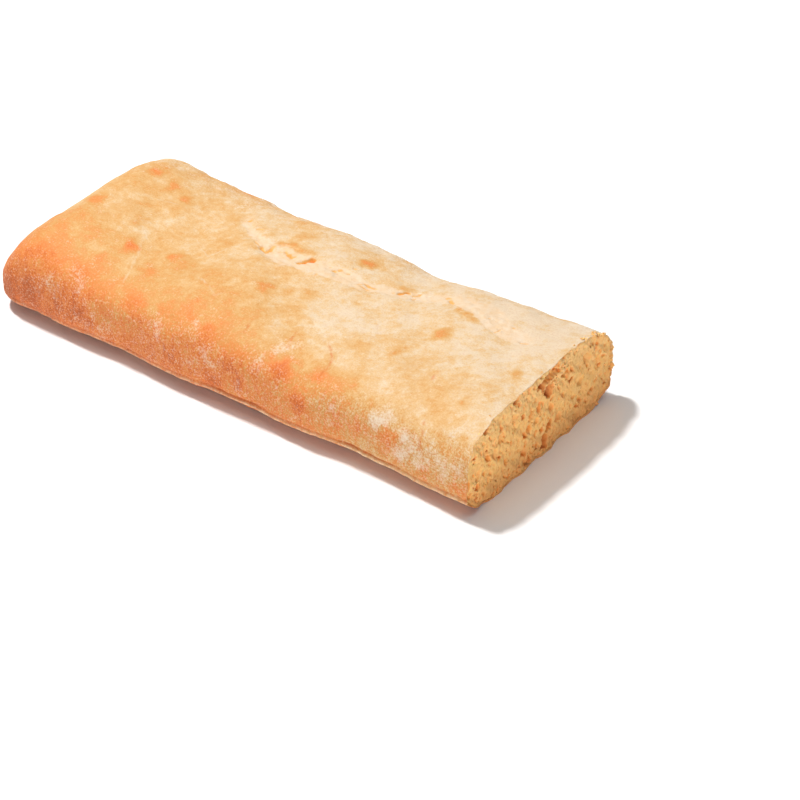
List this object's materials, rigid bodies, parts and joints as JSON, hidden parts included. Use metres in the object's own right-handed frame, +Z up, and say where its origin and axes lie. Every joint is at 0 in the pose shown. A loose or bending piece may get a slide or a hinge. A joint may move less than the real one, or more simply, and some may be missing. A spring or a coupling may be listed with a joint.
{
  "type": "ciabatta loaf, cut across",
  "caption": "Flat domed ciabatta loaf with a blunt baked end, a long rip in its top crust, and open crumb at the end where it was cut.",
  "frame": {"origin": "middle of the loaf's bounding box, on the surface it rests on", "axes": "+X along the loaf towards its cut end, +Y towards its back side, +Z up"},
  "size_m": [0.2508, 0.107, 0.0424],
  "materials": {
    "crust": "baked wheat crust, golden with browner spots and a dusting of flour",
    "crumb": "open cream wheat crumb, matte and porous"
  },
  "bodies": {
    "root": {"loaf": "crust"}
  },
  "joints": []
}
